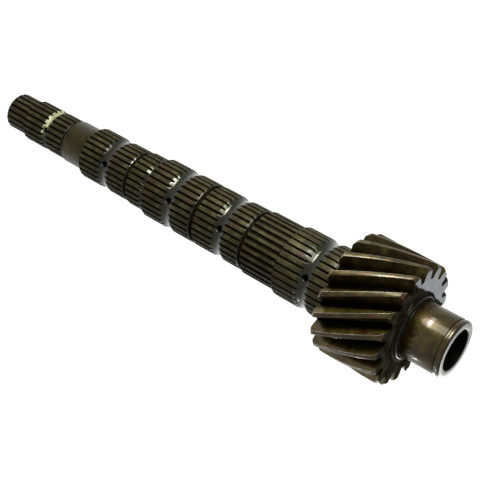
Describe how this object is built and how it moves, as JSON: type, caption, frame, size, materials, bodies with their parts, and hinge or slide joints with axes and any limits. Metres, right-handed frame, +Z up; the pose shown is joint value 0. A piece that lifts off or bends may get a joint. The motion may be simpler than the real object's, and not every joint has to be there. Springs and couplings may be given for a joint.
{
  "type": "gearbox output shaft",
  "caption": "Stepped steel gearbox output shaft with splined seats, ring grooves, oil holes, a left-hand helical pinion and a hollow bearing journal.",
  "frame": {"origin": "centre of the flat face of the small splined end, on which the shaft stands", "axes": "+Z up the shaft's axis towards the pinion and the hollow bearing journal; the oil holes face -Y"},
  "size_m": [0.069, 0.069, 0.3197],
  "materials": {
    "oiled_steel": "case-hardened and ground steel under brown oil, dark grey in the spline gaps"
  },
  "bodies": {
    "root": {"output_shaft": "oiled_steel"}
  },
  "joints": []
}
